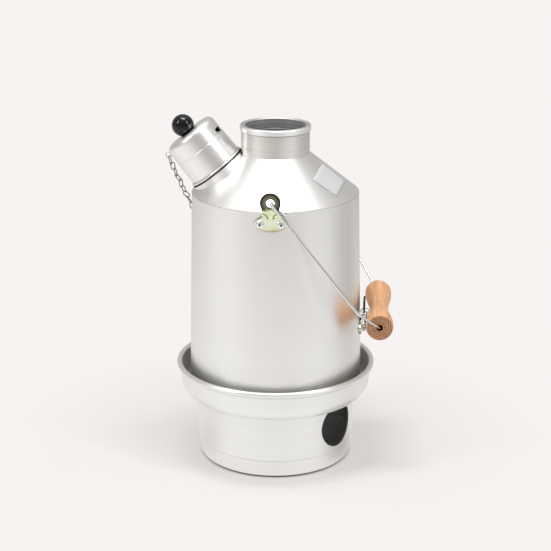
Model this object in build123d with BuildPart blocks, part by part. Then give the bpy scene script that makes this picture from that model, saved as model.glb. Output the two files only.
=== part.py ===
from build123d import *
import os
from math import acos, asin, atan2, cos, degrees, exp, hypot, isclose, pi, radians, sin, sqrt, tan

# Storm kettle standing in its fire base, in millimetres. Z is up and the origin is the
# centre of the base's underside. The bail turns about Y, the spout points to -X.

# Fire base, one spun aluminium pan
sheet = 1.2
foot_radius = 69.4
foot_corner = 3.5
foot_height = 15.6
pan_radius = 71.3
ledge_height = 58.8
ledge_arc = 12.3
flare_radius = 85.8
flare_lip_radius = 86.4
rim_height = 86.6
rim_roll = 2.4
rim_slit = 0.4
air_hole_radius = 20.4
air_hole_height = 40.8
air_hole_flat = 16.2
air_hole_azimuth = -35.0

# Kettle shell, a slightly tapered spun tube seated on the pan's ledge
seat_clearance = 0.35
seam_roll = 1.5
body_foot_radius = 78.4
body_top_radius = 73.85
body_top = 246.2
seam_groove = 0.4
lap_length = 5.0
lap_clearance = 0.05

# Shoulder and neck
neck_radius = 30.0
neck_foot = 281.0
neck_top = 304.0

# Chimney, rolled over the neck's edge
chimney_sheet = 1.0
mouth_radius = 26.7
mouth_depth = 10.0
mouth_step = 1.1
mouth_top = 305.7
mouth_roll = 1.2
mouth_roll_skirt = 4.6
mouth_lip = 1.08
throat_height = 262.0
flue_waist_radius = 50.0
flue_waist_height = 150.0
hem_lean = 0.15

# Spout on the shoulder and its whistle cap, measured along the spout's own axis
spout_along_cone = 30.0
collar_radius = 27.3
collar_height = 1.0
collar_flare = 3.4
collar_depth = 6.5
tube_radius = 23.4
tube_wall = 1.0
tube_height = 15.0
tube_tail = 7.0
tube_chamfer = 0.4
seal_thickness = 0.7
seal_radius = 26.8
cap_sheet = 1.0
cap_rim_gap = 0.1
cap_rim_roll = 1.15
cap_mouth_radius = 25.3
cap_crease_height = 25.2
cap_crease_step = 0.25
cap_crown_radius = 24.3
cap_crown_corner = 5.0
cap_top = 42.0
slot_width = 8.5
slot_height = 4.6
slot_along = 28.3
slot_azimuth = 16.0
whistle_depth = 3.0
whistle_sheet = 0.6
whistle_hole = 1.5
whistle_below_crease = 1.2
ball_radius = 9.75
ball_centre = 49.5
stud_radius = 2.0
stud_into_ball = 9.0
stud_tail = 0.5
stud_chamfer = 0.4
thread_clearance = 0.05
nut_width = 7.0
nut_height = 3.2
washer_radius = 4.5
washer_thickness = 0.8

# Pressed lugs and their pop rivets
lug_sheet = 1.6
lug_eye_height = 8.8
eye_radius = 3.5
eye_rim = 8.8
lug_waist = 7.2
lug_base_half = 13.9
lug_base_rise = 6.0
lug_base_drop = 18.8
lug_joggle = 3.1
joggle_start = 13.0
joggle_end = 8.8
lug_blend = 2.5
lower_eye_height = 139.8
rivet_spread = 8.7
rivet_drop = 19.3
rivet_shank = 1.6
rivet_head = 3.6
rivet_head_height = 1.3
rivet_dome = 0.75
rivet_pit = 1.0
rivet_pit_depth = 0.9
rivet_tail = 2.6
rivet_tail_length = 3.2
rivet_clearance = 0.05

# Bail, bent from one wire, and its turned grip
bail_wire_radius = 1.25
bail_gap = 0.3
bail_bend_reach = 121.3
bail_bend_half = 82.8
bail_bend_radius = 8.0
grip_reach = 150.9
grip_length = 100.0
grip_bore = 2.6
grip_waist = 8.25
grip_bulge = 12.0
grip_bulge_from_end = 5.0
grip_end_radius = 11.5
grip_end_round = 0.9
grip_rest_gap = 4.0
hook_curl = 2.5
hook_crossing = 0.85
hook_kink = 4.0
hook_kink_angle = 12.0
hook_tail = 17.5
entry_radius = 3.0
entry_inset = 0.26

# Chain from the cap to the lower lug, hung round the back of the shell
link_wire = 1.0
link_inner_length = 6.9
link_inner_width = 2.5
link_pitch = 6.7
link_corner = 30.0
link_play = 0.2
link_count = 53
upper_link_count = 26
chain_off_shell = 2.3
chain_hang = 12.0
chain_hang_run = 10.0
chain_lift_run = 20.0
chain_twist_links = 8
route_steps = 800
sag_limit = 0.02
sag_tries = 30
staple_wire = 0.65
staple_eye = 2.6
staple_stand = 4.2
staple_height = 36.0
staple_azimuth = 10.0
staple_washer = 2.4
staple_washer_thickness = 0.8
ring_radius = 3.65
ring_wire = 0.5
ring_clock = 28.0
ring_outward = 0.5
ring_eye_gap = 0.35
ring_hook_angle = 62.0
ring_hook_lean = 27.0

# Worked out from the sizes above
flare_inner_arc = ledge_arc - sheet
seam_centre_radius = body_foot_radius - seam_roll
seat_run = seam_centre_radius - (flare_radius - ledge_arc)
seat_reach = flare_inner_arc - seam_roll - seat_clearance
seam_centre_height = ledge_height + ledge_arc - sqrt(seat_reach**2 - seat_run**2)
body_foot = seam_centre_height - seam_roll
body_slope = (body_foot_radius - body_top_radius) / (body_top - body_foot)
body_taper = degrees(atan2(body_foot_radius - body_top_radius, body_top - body_foot))
cone_run = body_top_radius - neck_radius
cone_rise = neck_foot - body_top
cone_angle = degrees(atan2(cone_rise, cone_run))
cone_shift = sheet / sin(radians(cone_angle))
seal_top = collar_height + seal_thickness
cap_foot = seal_top + cap_rim_gap
cap_taper = (cap_mouth_radius - cap_crown_radius) / (cap_top - cap_crown_corner - cap_foot)
upper_eye_height = body_top + lug_eye_height
hinge_height = upper_eye_height


def shell_radius(height):
    """Outer radius of the kettle's shell at a height."""
    return body_foot_radius - (height - body_foot) * body_slope


def cap_radius(along):
    """Outer radius of the whistle cap's wall below its crease."""
    return cap_mouth_radius - (along - cap_foot) * cap_taper


# The spout's frame: local Z is the spout's axis, local X points up the shoulder
spout_origin = (
    -body_top_radius + spout_along_cone * cos(radians(cone_angle)),
    0,
    body_top + spout_along_cone * sin(radians(cone_angle)),
)
spout_direction = (-sin(radians(cone_angle)), 0, cos(radians(cone_angle)))
uphill = (cos(radians(cone_angle)), 0, sin(radians(cone_angle)))
spout_plane = Plane(spout_origin, x_dir=uphill, z_dir=spout_direction)
spout_section = Plane(spout_origin, x_dir=uphill, z_dir=(0, -1, 0))
spout_axis = Axis(spout_origin, spout_direction)


def spout_point(radius, azimuth, along):
    """A point near the spout: azimuth 0 is uphill and 90 is towards +Y."""
    turn = radians(azimuth)
    return spout_plane.from_local_coords((radius * cos(turn), radius * sin(turn), along))


def finish(piece, name):
    """Label a finished piece and write its STEP file."""
    piece.part.label = name
    export_step(piece.part, f"parts/{name}.step")


# Fire base

def pan_outline(inset):
    """Outline of the pan's half section from its axis, inset from its outer surface."""
    rise = inset * tan(radians(22.5))
    step = pan_radius - foot_radius
    foot = foot_radius - inset
    wall = pan_radius - inset
    arc_centre = flare_radius - ledge_arc
    arc_height = ledge_height + ledge_arc
    with BuildLine() as outline:
        Polyline((0, rim_height), (0, inset), (foot_radius - foot_corner, inset))
        CenterArc((foot_radius - foot_corner, foot_corner), foot_corner - inset, -90, 90)
        Polyline(
            (foot, foot_corner),
            (foot, foot_height + rise),
            (wall, foot_height + step + rise),
            (wall, ledge_height + inset),
            (arc_centre, ledge_height + inset),
        )
        CenterArc((arc_centre, arc_height), ledge_arc - inset, -90, 90)
        Polyline(
            (flare_radius - inset, arc_height),
            (flare_lip_radius - inset, rim_height),
            (0, rim_height),
        )
    return outline.line


def make_fire_base():
    hole_direction = (cos(radians(air_hole_azimuth)), sin(radians(air_hole_azimuth)), 0)
    hole_plane = Plane((0, 0, air_hole_height), x_dir=(0, 0, 1), z_dir=hole_direction)
    with BuildPart() as fire_base:
        with BuildSketch(Plane.XZ):
            make_face(pan_outline(0).edges())
            with Locations((flare_lip_radius - sheet + rim_roll, rim_height)):
                Circle(rim_roll)
                Circle(rim_roll - sheet, mode=Mode.SUBTRACT)
            make_face(pan_outline(sheet).edges(), mode=Mode.SUBTRACT)
            with Locations((flare_lip_radius, rim_height)):
                Rectangle(
                    rim_slit,
                    rim_roll,
                    align=(Align.MIN, Align.MAX),
                    mode=Mode.SUBTRACT,
                )
        revolve(axis=Axis.Z)
        with BuildSketch(hole_plane.offset(foot_radius / 2)):
            Circle(air_hole_radius)
            with Locations((air_hole_flat, 0)):
                Rectangle(
                    air_hole_radius,
                    2 * air_hole_radius,
                    align=(Align.MIN, Align.CENTER),
                    mode=Mode.SUBTRACT,
                )
        extrude(amount=foot_radius, mode=Mode.SUBTRACT)
    finish(fire_base, "fire_base")


# Kettle shell

def rivet_sites():
    """Planes on the shell at each rivet, with Z pointing outwards."""
    sites = []
    lugs = ((-90, upper_eye_height), (90, upper_eye_height), (0, lower_eye_height))
    for azimuth, eye_height in lugs:
        height = eye_height - rivet_drop
        radius = shell_radius(height)
        half_turn = degrees(asin(rivet_spread / radius))
        for side in (-1, 1):
            turn = radians(azimuth + side * half_turn)
            tilt = radians(body_taper)
            origin = (radius * cos(turn), radius * sin(turn), height)
            outwards = (cos(tilt) * cos(turn), cos(tilt) * sin(turn), sin(tilt))
            sites.append(Plane(origin, x_dir=(-sin(turn), cos(turn), 0), z_dir=outwards))
    return sites


def make_body_shell():
    top = body_top - seam_groove
    wall_foot = body_foot + seam_roll
    with BuildPart() as body_shell:
        with BuildSketch(Plane.XZ):
            Polygon(
                (shell_radius(wall_foot), wall_foot),
                (shell_radius(top), top),
                (shell_radius(top) - sheet, top),
                (shell_radius(wall_foot) - sheet, wall_foot),
                align=None,
            )
            with Locations((seam_centre_radius, seam_centre_height)):
                Circle(seam_roll)
        revolve(axis=Axis.Z)
        with BuildSketch(*rivet_sites()):
            Circle(rivet_shank + rivet_clearance)
        extrude(amount=2 * sheet, both=True, mode=Mode.SUBTRACT)
    finish(body_shell, "body_shell")


def make_shoulder():
    lap_top = body_top - seam_groove / 2
    lap_foot = body_top - lap_length
    lap = sheet + lap_clearance
    inner_edge = body_top_radius - cone_shift
    slope = tan(radians(cone_angle))
    neck_bore = neck_radius - sheet
    throat_end = body_top + (inner_edge - neck_bore) * slope
    lap_inner = shell_radius(lap_top) - lap - sheet
    with BuildPart() as shoulder:
        with BuildSketch(Plane.XZ):
            Polygon(
                (body_top_radius, body_top),
                (neck_radius, neck_foot),
                (neck_radius, neck_top),
                (neck_bore, neck_top),
                (neck_bore, throat_end),
                (lap_inner, body_top + (inner_edge - lap_inner) * slope),
                (shell_radius(lap_foot) - lap - sheet, lap_foot),
                (shell_radius(lap_foot) - lap, lap_foot),
                (shell_radius(lap_top) - lap, lap_top),
                (body_top_radius, lap_top),
                align=None,
            )
        revolve(axis=Axis.Z)
        with BuildSketch(spout_plane.offset(-tube_tail)):
            Circle(tube_radius + lap_clearance)
        extrude(amount=tube_tail + tube_height, mode=Mode.SUBTRACT)
    finish(shoulder, "shoulder")


def make_chimney():
    neck_bore = neck_radius - sheet
    roll_outer = neck_radius + mouth_roll
    step_height = mouth_top - mouth_depth
    throat = mouth_radius - mouth_step
    hem_foot = body_foot + 2 * seam_roll + lap_clearance
    hem_top = hem_foot + lap_length
    hem_radius = shell_radius(hem_top) - sheet - lap_clearance
    shell = chimney_sheet
    flue = [
        (hem_radius - shell, hem_foot),
        (hem_radius - shell, hem_top),
        (flue_waist_radius - shell, flue_waist_height),
        (throat, throat_height),
    ]
    with BuildPart() as chimney:
        with BuildSketch(Plane.XZ):
            with BuildLine():
                Polyline(
                    (throat, throat_height),
                    (throat, step_height),
                    (mouth_radius, step_height + mouth_step),
                    (mouth_radius, mouth_top),
                    (roll_outer, mouth_top),
                    (roll_outer, mouth_top - mouth_roll_skirt),
                    (neck_radius, mouth_top - mouth_roll_skirt),
                    (neck_radius, neck_top),
                    (neck_bore, neck_top),
                    (mouth_radius + shell, neck_top - mouth_roll),
                    (mouth_radius + shell, step_height),
                    (throat + shell, step_height - mouth_step),
                    (throat + shell, throat_height),
                )
                Spline(
                    (throat + shell, throat_height),
                    (flue_waist_radius, flue_waist_height),
                    (hem_radius, hem_top),
                    tangents=((0, -1), (hem_lean, -1)),
                )
                Polyline((hem_radius, hem_top), (hem_radius, hem_foot), flue[0], flue[1])
                Spline(
                    flue[1],
                    flue[2],
                    flue[3],
                    tangents=((-hem_lean, 1), (0, 1)),
                )
            make_face()
        revolve(axis=Axis.Z)
        lip = chimney.edges().filter_by(GeomType.CIRCLE).group_by(Axis.Z)[-1]
        fillet(lip, radius=mouth_lip)
    finish(chimney, "chimney")


# Lugs and rivets

def lug_band(eye_height):
    """Half section of the pressed strip: flat on the shell, then stepped out to the eye."""
    low = eye_height - lug_base_drop - lug_base_rise - lug_sheet
    start = eye_height - joggle_start
    end = eye_height - joggle_end
    high = eye_height + eye_rim + lug_sheet
    out = shell_radius(end) + lug_joggle
    Polygon(
        (shell_radius(low), low),
        (shell_radius(start), start),
        (out, end),
        (out, high),
        (out + lug_sheet, high),
        (out + lug_sheet, end),
        (shell_radius(start) + lug_sheet, start),
        (shell_radius(low) + lug_sheet, low),
        align=None,
    )


def make_lug(name, azimuth, eye_height):
    turn = radians(azimuth)
    outwards = (cos(turn), sin(turn), 0)
    across = (-sin(turn), cos(turn), 0)
    face = Plane((0, 0, eye_height), x_dir=across, z_dir=outwards)
    with BuildPart() as lug:
        with BuildSketch(Plane.XZ):
            lug_band(eye_height)
        revolve(axis=Axis.Z)
        with BuildSketch(face.offset(neck_radius)) as outline:
            Circle(eye_rim)
            with Locations((0, -lug_base_drop)):
                Ellipse(lug_base_half, lug_base_rise)
            with Locations((0, -lug_base_drop / 2)):
                Rectangle(2 * lug_waist, lug_base_drop)
            corners = outline.vertices().filter_by(
                lambda vertex: isclose(
                    abs(face.to_local_coords(vertex.center()).X), lug_waist, abs_tol=lug_blend / 100
                )
            )
            fillet(corners, radius=lug_blend)
            Circle(eye_radius, mode=Mode.SUBTRACT)
        extrude(amount=body_top_radius, mode=Mode.INTERSECT)
        with BuildSketch(*rivet_sites()):
            Circle(rivet_shank + rivet_clearance)
        extrude(amount=2 * lug_sheet, both=True, mode=Mode.SUBTRACT)
    finish(lug, name)


def make_rivets():
    with BuildPart() as lug_rivets:
        for site in rivet_sites():
            section = Plane(site.origin, x_dir=site.x_dir, z_dir=-site.y_dir)
            with BuildSketch(section) as half:
                with BuildLine():
                    Polyline(
                        (0, -sheet - rivet_tail_length),
                        (rivet_tail, -sheet - rivet_tail_length),
                        (rivet_tail, -sheet - rivet_tail / 2),
                        (rivet_shank, -sheet),
                        (rivet_shank, lug_sheet),
                        (rivet_head, lug_sheet),
                    )
                    ThreePointArc(
                        (rivet_head, lug_sheet),
                        (rivet_head * rivet_dome, lug_sheet + rivet_head_height * rivet_dome),
                        (rivet_pit, lug_sheet + rivet_head_height),
                    )
                    Polyline(
                        (rivet_pit, lug_sheet + rivet_head_height),
                        (rivet_pit, lug_sheet + rivet_head_height - rivet_pit_depth),
                        (0, lug_sheet + rivet_head_height - rivet_pit_depth),
                        (0, -sheet - rivet_tail_length),
                    )
                make_face()
            revolve(axis=Axis(site.origin, site.z_dir))
    finish(lug_rivets, "lug_rivets")


# Spout and whistle cap

def make_spout():
    with BuildPart() as spout_collar:
        with BuildSketch(spout_section):
            Polygon(
                (tube_radius - tube_wall, collar_height),
                (collar_radius, collar_height),
                (collar_radius + collar_flare, -collar_depth),
                (tube_radius - tube_wall, -collar_depth),
                align=None,
            )
        revolve(axis=spout_axis)
        with BuildSketch(Plane.XZ):
            Polygon(
                (0, body_top - collar_radius),
                (body_top_radius, body_top - collar_radius),
                (body_top_radius, body_top),
                (neck_radius, neck_foot),
                (neck_radius, neck_top),
                (0, neck_top),
                align=None,
            )
        revolve(axis=Axis.Z, mode=Mode.SUBTRACT)
        with BuildSketch(spout_plane.offset(-tube_tail)):
            Circle(tube_radius)
            Circle(tube_radius - tube_wall, mode=Mode.SUBTRACT)
        extrude(amount=tube_tail + tube_height)
        mouth = spout_collar.edges().filter_by(GeomType.CIRCLE).sort_by(spout_axis)[-1]
        chamfer(mouth, length=tube_chamfer)
    finish(spout_collar, "spout_collar")
    with BuildPart() as spout_seal:
        with BuildSketch(spout_plane.offset(collar_height)):
            Circle(seal_radius)
            Circle(tube_radius, mode=Mode.SUBTRACT)
        extrude(amount=seal_thickness)
    finish(spout_seal, "spout_seal")


def cap_outline(inset, foot):
    """Outline of the cap's half section from its axis, inset from its outer surface."""
    crown = cap_crown_radius - inset
    corner_foot = cap_top - cap_crown_corner
    corner_centre = (cap_crown_radius - cap_crown_corner, corner_foot)
    with BuildLine() as outline:
        Polyline((0, foot), (0, cap_top - inset), (corner_centre[0], cap_top - inset))
        CenterArc(corner_centre, cap_crown_corner - inset, 0, 90)
        Polyline(
            (crown, corner_foot),
            (cap_radius(cap_crease_height) - cap_crease_step - inset, cap_crease_height),
            (cap_radius(cap_crease_height) - inset, cap_crease_height - cap_crease_step),
            (cap_radius(foot) - inset, foot),
            (0, foot),
        )
    return outline.line


def make_cap():
    slot_turn = radians(-slot_azimuth)
    slot_outwards = spout_plane.from_local_coords(Vector(cos(slot_turn), sin(slot_turn), 0))
    slot_direction = (slot_outwards - Vector(*spout_origin)).normalized()
    slot_plane = Plane(
        spout_plane.from_local_coords((0, 0, slot_along)),
        x_dir=spout_direction,
        z_dir=slot_direction,
    )
    with BuildPart() as cap_shell:
        with BuildSketch(spout_section):
            make_face(cap_outline(0, cap_foot).edges())
        revolve(axis=spout_axis)
        with BuildSketch(spout_section):
            make_face(cap_outline(cap_sheet, cap_foot - cap_sheet).edges())
        revolve(axis=spout_axis, mode=Mode.SUBTRACT)
        with BuildSketch(spout_section):
            with Locations((cap_mouth_radius - cap_sheet + cap_rim_roll, cap_foot + cap_rim_roll)):
                Circle(cap_rim_roll)
        revolve(axis=spout_axis)
        with BuildSketch(slot_plane.offset(cap_crown_radius / 2)):
            Rectangle(slot_height, slot_width)
        extrude(amount=cap_crown_radius, mode=Mode.SUBTRACT)
        with BuildSketch(spout_plane.offset(cap_top - 2 * cap_sheet)):
            Circle(stud_radius + thread_clearance)
        extrude(amount=3 * cap_sheet, mode=Mode.SUBTRACT)
        with BuildSketch(staple_plane()):
            Circle(staple_wire + thread_clearance)
        extrude(amount=2 * cap_sheet, both=True, mode=Mode.SUBTRACT)
    finish(cap_shell, "cap_shell")


def make_whistle():
    top = cap_crease_height + whistle_depth - whistle_below_crease
    foot = top - whistle_depth
    radius = cap_radius(cap_crease_height) - cap_crease_step - cap_sheet - lap_clearance * 2
    with BuildPart() as whistle_capsule:
        with BuildSketch(spout_section):
            Polygon(
                (whistle_hole, foot),
                (radius, foot),
                (radius, top),
                (whistle_hole, top),
                (whistle_hole, top - whistle_sheet),
                (radius - whistle_sheet, top - whistle_sheet),
                (radius - whistle_sheet, foot + whistle_sheet),
                (whistle_hole, foot + whistle_sheet),
                align=None,
            )
        revolve(axis=spout_axis)
    finish(whistle_capsule, "whistle_capsule")


def make_knob():
    underside = cap_top - cap_sheet
    washer_foot = underside - washer_thickness
    nut_foot = washer_foot - nut_height
    stud_top = cap_top + stud_into_ball
    flat_radius = sqrt(ball_radius**2 - (ball_centre - cap_top) ** 2)
    with BuildPart() as knob_ball:
        with BuildSketch(spout_section):
            with BuildLine():
                Polyline((0, ball_centre + ball_radius), (0, cap_top), (flat_radius, cap_top))
                ThreePointArc(
                    (flat_radius, cap_top),
                    (ball_radius, ball_centre),
                    (0, ball_centre + ball_radius),
                )
            make_face()
        revolve(axis=spout_axis)
        with BuildSketch(spout_plane.offset(cap_top)):
            Circle(stud_radius + thread_clearance)
        extrude(amount=stud_into_ball, mode=Mode.SUBTRACT)
    finish(knob_ball, "knob_ball")
    with BuildPart() as knob_stud:
        with BuildSketch(spout_plane.offset(nut_foot - stud_tail)):
            Circle(stud_radius)
        extrude(amount=stud_top - nut_foot + stud_tail)
        chamfer(knob_stud.edges(), length=stud_chamfer)
    finish(knob_stud, "knob_stud")
    with BuildPart() as knob_nut:
        with BuildSketch(spout_plane.offset(nut_foot)):
            RegularPolygon(radius=nut_width / 2, side_count=6, major_radius=False)
            Circle(stud_radius + thread_clearance, mode=Mode.SUBTRACT)
        extrude(amount=nut_height)
    finish(knob_nut, "knob_nut")
    with BuildPart() as knob_washer:
        with BuildSketch(spout_plane.offset(washer_foot)):
            Circle(washer_radius)
            Circle(stud_radius + thread_clearance, mode=Mode.SUBTRACT)
        extrude(amount=washer_thickness)
    finish(knob_washer, "knob_washer")


# Bail and grip, hung so that the grip rests just off the lower lug

lower_face = shell_radius(lower_eye_height - joggle_end) + lug_joggle + lug_sheet
bail_rest_angle = degrees(acos((lower_face + grip_rest_gap + grip_waist) / grip_reach))
bail_along = Vector(cos(radians(bail_rest_angle)), 0, -sin(radians(bail_rest_angle)))
tail_angle = bail_rest_angle - hook_kink_angle
tail_along = Vector(cos(radians(tail_angle)), 0, -sin(radians(tail_angle)))
lug_inner = shell_radius(upper_eye_height - joggle_end) + lug_joggle
leg_half = lug_inner + lug_sheet + bail_gap + bail_wire_radius
lug_inner_edge = sqrt(lug_inner**2 - eye_rim**2)
hook_half = lug_inner_edge - bail_gap - bail_wire_radius


def bail_point(reach, across):
    """A point in the bail's plane: reach from the hinge axis, across along Y."""
    return Vector(0, across, hinge_height) + bail_along * reach


def make_bail():
    entry = grip_length / 2 - entry_inset
    kink = bail_point(hook_kink, 0)
    tail_end = kink + tail_along * (hook_tail - hook_kink)
    half = [
        Vector(tail_end.X, -hook_half, tail_end.Z),
        Vector(kink.X, -hook_half, kink.Z),
        bail_point(-hook_crossing, -hook_half),
        bail_point(-hook_crossing, -leg_half),
        bail_point(bail_bend_reach, -bail_bend_half),
        bail_point(grip_reach, -entry),
    ]
    other = [Vector(point.X, -point.Y, point.Z) for point in reversed(half)]
    radii = [hook_kink, hook_curl, hook_curl, bail_bend_radius, entry_radius]
    with BuildPart() as bail_wire:
        with BuildLine():
            route = FilletPolyline(*half, *other, radius=radii + radii[::-1])
        with BuildSketch(Plane(route @ 0, z_dir=route % 0)):
            Circle(bail_wire_radius)
        sweep()
    finish(bail_wire, "bail_wire")


def make_grip():
    centre = bail_point(grip_reach, 0)
    half = grip_length / 2
    bulge = half - grip_bulge_from_end
    section = Plane(centre, x_dir=(0, 1, 0), z_dir=(1, 0, 0))
    with BuildPart() as grip:
        with BuildSketch(section):
            with BuildLine():
                Polyline((0, 0), (-half, 0), (-half, grip_end_radius))
                Spline(
                    (-half, grip_end_radius),
                    (-bulge, grip_bulge),
                    (-half / 2, (grip_waist + grip_bulge) / 2),
                    (0, grip_waist),
                    (half / 2, (grip_waist + grip_bulge) / 2),
                    (bulge, grip_bulge),
                    (half, grip_end_radius),
                )
                Polyline((half, grip_end_radius), (half, 0), (0, 0))
            make_face()
        revolve(axis=Axis(centre, (0, 1, 0)))
        fillet(grip.faces().filter_by(GeomType.PLANE).edges(), radius=grip_end_round)
        with BuildSketch(Plane(bail_point(grip_reach, -half), x_dir=(1, 0, 0), z_dir=(0, 1, 0))):
            Circle(grip_bore)
        extrude(amount=grip_length, mode=Mode.SUBTRACT)
    finish(grip, "grip")


# Chain, with its staple on the cap and its ring in the lower lug

def staple_plane():
    """The cap's wall at the chain staple, with Z pointing outwards."""
    wall = cap_radius(cap_crease_height) - cap_crease_step
    fall = (wall - cap_crown_radius) / (cap_top - cap_crown_corner - cap_crease_height)
    radius = wall - (staple_height - cap_crease_height) * fall
    origin = spout_point(radius, 180 - staple_azimuth, staple_height)
    foot = spout_point(0, 0, staple_height)
    return Plane(origin, x_dir=spout_direction, z_dir=origin - foot)


def make_staple():
    wall = staple_plane()
    eye_centre = wall.from_local_coords((0, 0, staple_stand))
    washer_gap = staple_washer**2 / cap_crown_radius
    inside = cap_sheet + washer_gap + staple_washer_thickness
    with BuildPart() as chain_staple:
        eye_plane = Plane(eye_centre, x_dir=wall.z_dir, z_dir=wall.y_dir)
        with BuildSketch(Plane(eye_centre, x_dir=wall.z_dir, z_dir=wall.x_dir)):
            with Locations((staple_eye, 0)):
                Circle(staple_wire)
        revolve(axis=Axis(eye_centre, eye_plane.z_dir))
        with BuildSketch(wall.offset(-inside - staple_wire)):
            Circle(staple_wire)
        extrude(amount=inside + staple_wire + staple_stand - staple_eye)
    finish(chain_staple, "chain_staple")
    with BuildPart() as staple_washer_part:
        with BuildSketch(wall.offset(-inside)):
            Circle(staple_washer)
            Circle(staple_wire + thread_clearance, mode=Mode.SUBTRACT)
        extrude(amount=staple_washer_thickness)
    finish(staple_washer_part, "staple_washer")


ring_away = Vector(0, -cos(radians(ring_clock)), -sin(radians(ring_clock)))
ring_reach = eye_radius - ring_wire - ring_eye_gap + ring_radius
lower_plate = lower_face - lug_sheet / 2
ring_centre = Vector(lower_plate + ring_outward, 0, lower_eye_height) + ring_away * ring_reach


def make_ring():
    with BuildPart() as chain_ring:
        with BuildSketch(Plane(ring_centre, x_dir=(1, 0, 0), z_dir=ring_away)):
            with Locations((ring_radius, 0)):
                Circle(ring_wire)
        revolve(axis=Axis(ring_centre, Vector(1, 0, 0).cross(ring_away)))
    finish(chain_ring, "chain_ring")


def hook_offset(wire_radius):
    """How far a chain's end point lies behind the wire that its last link hangs on."""
    own_end = (link_inner_length + link_wire - link_pitch) / 2
    return wire_radius + link_wire / 2 + link_play - own_end


def chain_start():
    """The chain's end point in the staple's eye on the cap."""
    wall = staple_plane()
    down = Vector(0, 0, -1)
    in_eye = (down - wall.y_dir * down.dot(wall.y_dir)).normalized()
    reach = staple_eye - hook_offset(staple_wire)
    return wall.from_local_coords((0, 0, staple_stand)) + in_eye * reach


def chain_end():
    """The chain's end point in the ring on the lower lug."""
    turn = radians(ring_hook_angle)
    on_ring = Vector(1, 0, 0) * cos(turn) + ring_away * sin(turn)
    lean = radians(ring_hook_lean)
    leaving = Vector(0, sin(lean), -cos(lean))
    return ring_centre + on_ring * ring_radius - leaving * hook_offset(ring_wire)


def chain_joints():
    """Points where neighbouring links touch, from the staple to the ring."""
    start, end = chain_start(), chain_end()
    start_radius = hypot(start.X, start.Y)
    end_radius = hypot(end.X, end.Y)
    wrap_radius = shell_radius(flue_waist_height) + chain_off_shell
    tangent_run = sqrt(start_radius**2 - wrap_radius**2)
    tangent_azimuth = atan2(start.Y, -start.X) + acos(wrap_radius / start_radius)
    end_azimuth = pi + atan2(-end.Y, end.X)
    run_length = tangent_run + wrap_radius * (end_azimuth - tangent_azimuth)
    drop = start.Z - end.Z + chain_hang
    wrap_start = Vector(-cos(tangent_azimuth), sin(tangent_azimuth), 0) * wrap_radius

    def point(run, sag):
        left = run_length - run
        height = start.Z - drop * run / run_length - sag * run * left
        height += chain_hang * exp(-left / chain_hang_run)
        if run < tangent_run:
            free = Vector(start.X, start.Y, 0)
            free += (wrap_start - free) * (run / tangent_run)
            return Vector(free.X, free.Y, height)
        azimuth = tangent_azimuth + (run - tangent_run) / wrap_radius
        settle = 1 - exp(-(run - tangent_run) / chain_lift_run)
        against = shell_radius(height) + chain_off_shell
        radius = wrap_radius + (against - wrap_radius) * settle
        radius += (end_radius - radius) * exp(-left / chain_lift_run)
        return Vector(-radius * cos(azimuth), radius * sin(azimuth), height)

    def route(sag):
        places = [point(run_length * step / route_steps, sag) for step in range(route_steps + 1)]
        reached = [0.0]
        for before, after in zip(places, places[1:]):
            reached.append(reached[-1] + (after - before).length)
        return places, reached

    low, high = 0.0, sag_limit
    for _ in range(sag_tries):
        middle = (low + high) / 2
        if route(middle)[1][-1] > link_count * link_pitch:
            high = middle
        else:
            low = middle
    places, reached = route(low)
    joints = [places[0]]
    for number in range(1, link_count):
        wanted = number * reached[-1] / link_count
        last = next(i for i, length in enumerate(reached) if length >= wanted)
        share = (wanted - reached[last - 1]) / (reached[last] - reached[last - 1])
        joints.append(places[last - 1] + (places[last] - places[last - 1]) * share)
    return joints + [places[-1]]


def make_chain():
    joints = chain_joints()
    bend = (link_inner_width + link_wire) / 2
    straight = (link_inner_length - link_inner_width) / 2
    corners = []
    for side in (1, -1):
        for turn in (90, link_corner, -link_corner, -90):
            across = bend / cos(radians(link_corner)) if abs(turn) < 90 else bend
            corners.append(
                (
                    side * (straight + across * cos(radians(turn))),
                    side * bend * sin(radians(turn)),
                )
            )
    with BuildPart() as link:
        with BuildLine():
            Polyline(*corners, close=True)
        with BuildSketch(Plane((0, bend, 0), x_dir=(0, 0, 1), z_dir=(1, 0, 0))):
            RegularPolygon(radius=link_wire / 2, side_count=6)
        sweep(transition=Transition.RIGHT)
    names = ("chain_upper", "chain_lower")
    spans = (range(upper_link_count), range(upper_link_count, link_count))
    for name, span in zip(names, spans):
        places = []
        for number in span:
            first, last = joints[number], joints[number + 1]
            along = (last - first).normalized()
            centre = (first + last) / 2
            outwards = Vector(centre.X, centre.Y, 0).normalized()
            side = along.cross(outwards).normalized()
            from_end = min(number, link_count - 1 - number)
            twist = max(0, 1 - from_end / chain_twist_links)
            lean = (45 if number % 2 else -45) - 45 * twist
            flat = side.rotate(Axis((0, 0, 0), along), lean)
            places.append(Location(Plane(centre, x_dir=along, z_dir=flat)))
        with BuildPart() as chain:
            for place in places:
                add(link.part.moved(place))
        finish(chain, name)
    chain_length = sum((b - a).length for a, b in zip(joints, joints[1:]))
    lowest = min(joint.Z for joint in joints)
    print("chain length", round(chain_length, 1), "lowest point", round(lowest, 1))


os.makedirs("parts", exist_ok=True)
make_fire_base()
make_body_shell()
make_shoulder()
make_chimney()
make_lug("lug_front", -90, upper_eye_height)
make_lug("lug_rear", 90, upper_eye_height)
make_lug("lug_lower", 0, lower_eye_height)
make_rivets()
make_spout()
make_cap()
make_whistle()
make_knob()
make_bail()
make_grip()
make_staple()
make_ring()
make_chain()
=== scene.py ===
"""Dresses the storm kettle for a studio picture."""

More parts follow.
